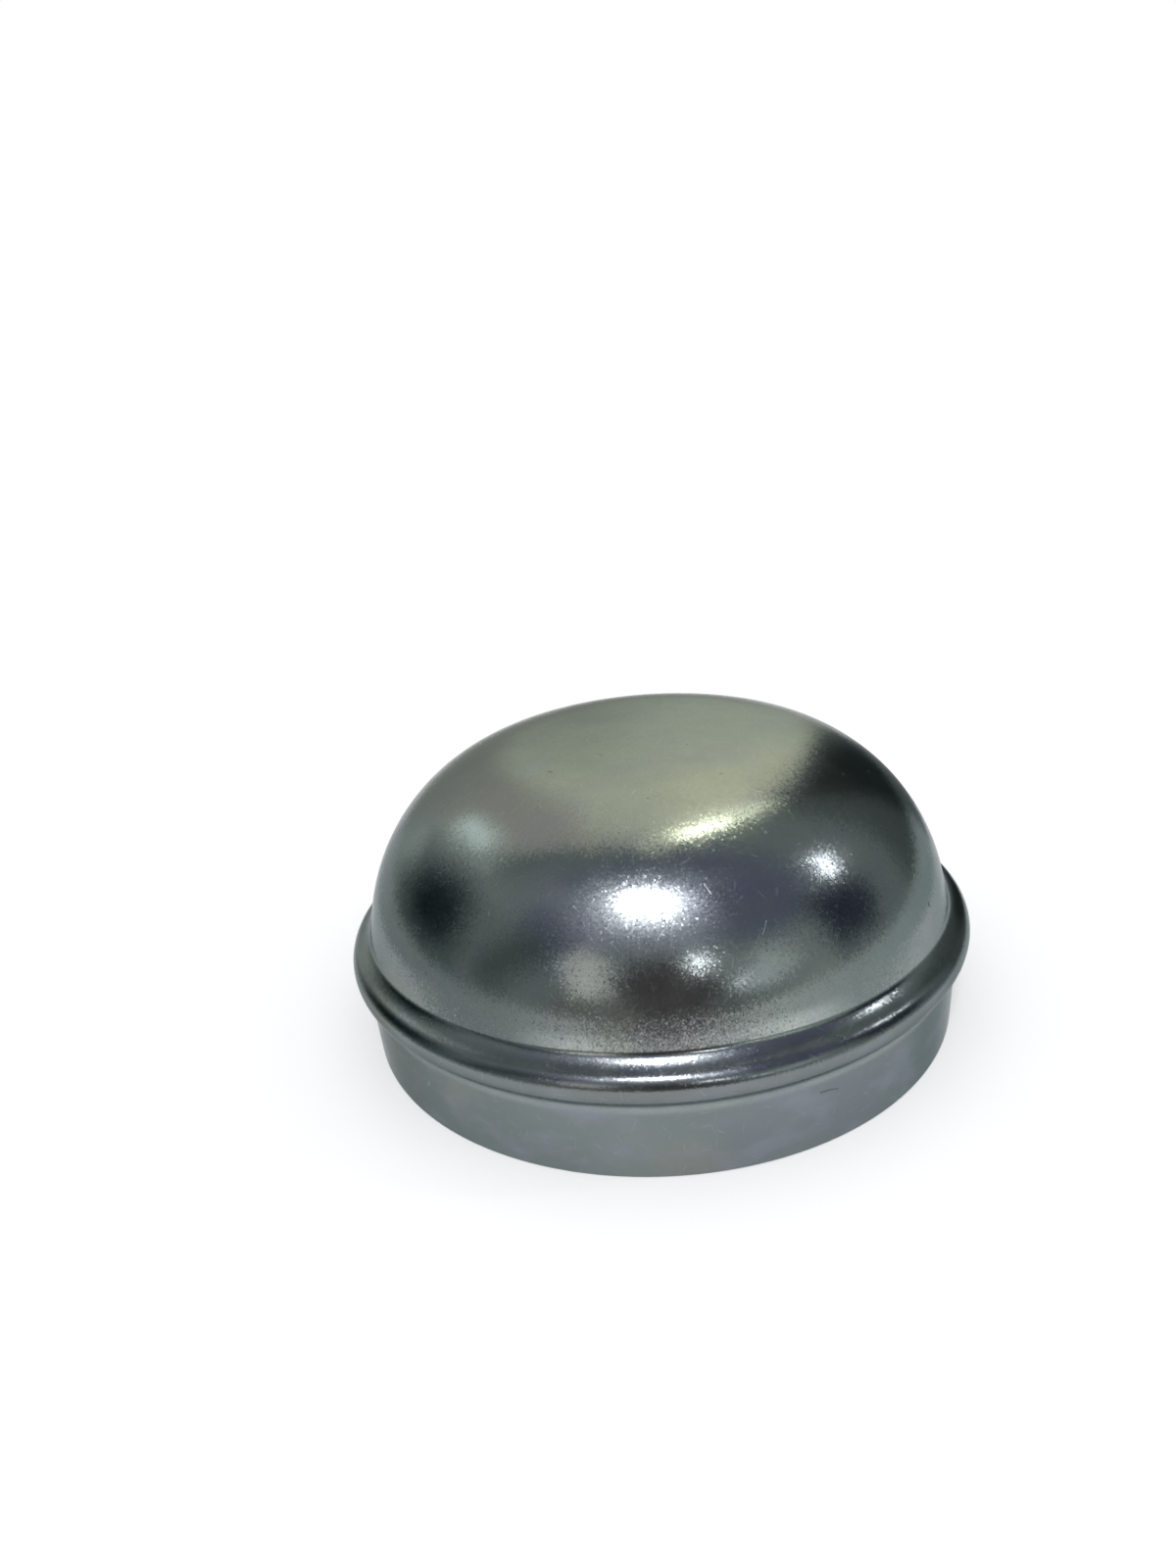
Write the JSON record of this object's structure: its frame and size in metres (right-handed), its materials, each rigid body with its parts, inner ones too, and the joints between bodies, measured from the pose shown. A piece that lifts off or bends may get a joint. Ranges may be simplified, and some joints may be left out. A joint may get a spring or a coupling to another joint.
{
  "type": "hub grease cap",
  "caption": "Round drawn-steel cap with a domed top, a rolled stop bead and a plain skirt that is driven into a wheel hub's bore to keep the bearing grease in.",
  "frame": {"origin": "on the axis, in the plane of the skirt's open edge", "axes": "+Z along the axis towards the crown; the cap is round, so +X and +Y are any two square directions across it"},
  "size_m": [0.064, 0.064, 0.0295],
  "materials": {
    "zinc_plated_steel": "bright zinc plating over drawn sheet steel, satin with fine grain and hairline scratches"
  },
  "bodies": {
    "root": {"grease_cap": "zinc_plated_steel"}
  },
  "joints": []
}
